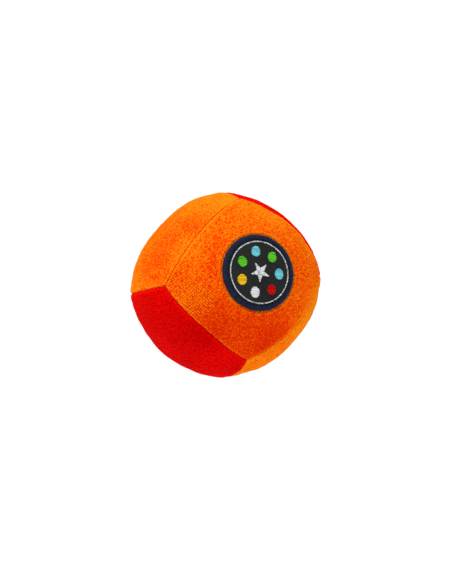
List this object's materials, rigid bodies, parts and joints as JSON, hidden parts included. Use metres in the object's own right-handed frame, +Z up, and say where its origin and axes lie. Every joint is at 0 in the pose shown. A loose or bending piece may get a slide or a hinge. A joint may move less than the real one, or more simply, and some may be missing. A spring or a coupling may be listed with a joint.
{
  "type": "juggling ball",
  "caption": "Soft stuffed juggling ball sewn from square plush panels in orange and red, with a round embroidered badge on one panel.",
  "frame": {"origin": "middle of the flat spot that the ball rests on", "axes": "+Z up, through the middle of the badge; +Y through the middle of one red panel and -Y through the other; +X and -X through plain orange panels"},
  "size_m": [0.073, 0.073, 0.0722],
  "materials": {
    "plush_orange": "short brushed pile, soft sheen",
    "plush_red": "short brushed pile, soft sheen",
    "sewing_thread": "spun polyester thread",
    "stuffing_fibre": "loose white polyester fibre",
    "pouch_cloth": "plain woven lining",
    "pouch_thread": "spun polyester thread",
    "pellet_plastic": "translucent plastic pellet, satin",
    "badge_backing_felt": "stiff non-woven backing",
    "badge_twill_cloth": "charcoal cotton twill",
    "border_thread": "navy overlock thread, silky",
    "embroidery_white": "white rayon embroidery thread, silky",
    "embroidery_green": "green rayon embroidery thread, silky",
    "embroidery_sky": "light blue rayon embroidery thread, silky",
    "embroidery_red": "red rayon embroidery thread, silky",
    "embroidery_yellow": "yellow rayon embroidery thread, silky"
  },
  "bodies": {
    "root": {"panel_badge": "plush_orange", "panel_base": "plush_orange", "panel_orange_right": "plush_orange", "panel_orange_left": "plush_orange", "panel_red_rear": "plush_red", "panel_red_front": "plush_red", "seam_badge_right": "sewing_thread", "seam_badge_rear": "sewing_thread", "seam_badge_left": "sewing_thread", "seam_badge_front": "sewing_thread", "seam_side_right_rear": "sewing_thread", "seam_side_left_rear": "sewing_thread", "seam_side_left_front": "sewing_thread", "seam_side_right_front": "sewing_thread", "seam_base_right": "sewing_thread", "seam_base_rear": "sewing_thread", "seam_base_left": "sewing_thread", "seam_base_front": "sewing_thread", "closing_stitch": "sewing_thread", "fibre_fill": "stuffing_fibre", "pouch_upper": "pouch_cloth", "pouch_lower": "pouch_cloth", "pouch_seam": "pouch_thread", "pellets": "pellet_plastic", "badge_backing": "badge_backing_felt", "badge_twill": "badge_twill_cloth", "badge_border": "border_thread", "badge_tack_stitch": "border_thread", "badge_ring": "embroidery_white", "badge_star": "embroidery_white", "badge_balls_green": "embroidery_green", "badge_balls_sky": "embroidery_sky", "badge_ball_red": "embroidery_red", "badge_ball_white": "embroidery_white", "badge_ball_yellow": "embroidery_yellow"}
  },
  "joints": []
}
